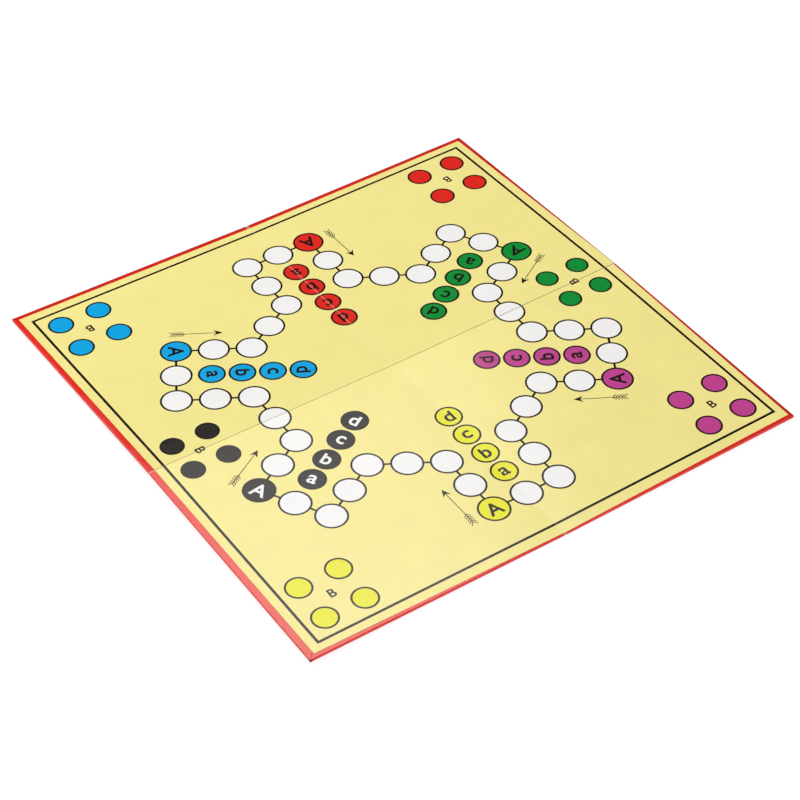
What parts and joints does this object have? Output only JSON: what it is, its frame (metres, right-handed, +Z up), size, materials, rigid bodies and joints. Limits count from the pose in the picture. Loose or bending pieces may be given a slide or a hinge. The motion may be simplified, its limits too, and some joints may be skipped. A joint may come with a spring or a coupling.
{
  "type": "folding ludo board",
  "caption": "Square folding game board with wrapped pasteboard panels, a printed star track on the face, paper creases as hinges and a half-length slit.",
  "frame": {"origin": "centre of the open board's footprint, on the table it lies on", "axes": "+Z up out of the printed face; +X from the left panels to the right panels; +Y from the front panels to the rear panels"},
  "size_m": [0.4, 0.4002, 0.008],
  "materials": {
    "greyboard": "raw",
    "lining_paper": "satin",
    "face_paper": "varnished"
  },
  "bodies": {
    "rear_left": {"greyboard_rear_left": "greyboard", "lining_rear_left": "lining_paper", "face_rear_left": "face_paper", "face_crease_rear": "face_paper", "lining_crease_left": "lining_paper"},
    "rear_right": {"greyboard_rear_right": "greyboard", "lining_rear_right": "lining_paper", "face_rear_right": "face_paper"},
    "front_left": {"greyboard_front_left": "greyboard", "lining_front_left": "lining_paper", "face_front_left": "face_paper", "face_crease_front": "face_paper"},
    "front_right": {"greyboard_front_right": "greyboard", "lining_front_right": "lining_paper", "face_front_right": "face_paper"}
  },
  "joints": [
    {"name": "fold_rear", "type": "hinge", "parent": "rear_left", "child": "rear_right", "pos_m": [0.00003, 0.00008, 0.00605], "axis": [0, -0.9999, 0.0166], "range_deg": [-1.2, 178.8], "deforming": ["face_crease_rear"]},
    {"name": "fold_left", "type": "hinge", "parent": "rear_left", "child": "front_left", "pos_m": [0, 0.00003, 0.00315], "axis": [0.9999, -0.0002, -0.0105], "range_deg": [-1.9, 178.1], "deforming": ["lining_crease_left"]},
    {"name": "fold_front", "type": "hinge", "parent": "front_left", "child": "front_right", "pos_m": [0.00003, -0.00001, 0.00605], "axis": [-0.0003, -0.9999, -0.0166], "range_deg": [-1.2, 178.8], "deforming": ["face_crease_front"]}
  ]
}
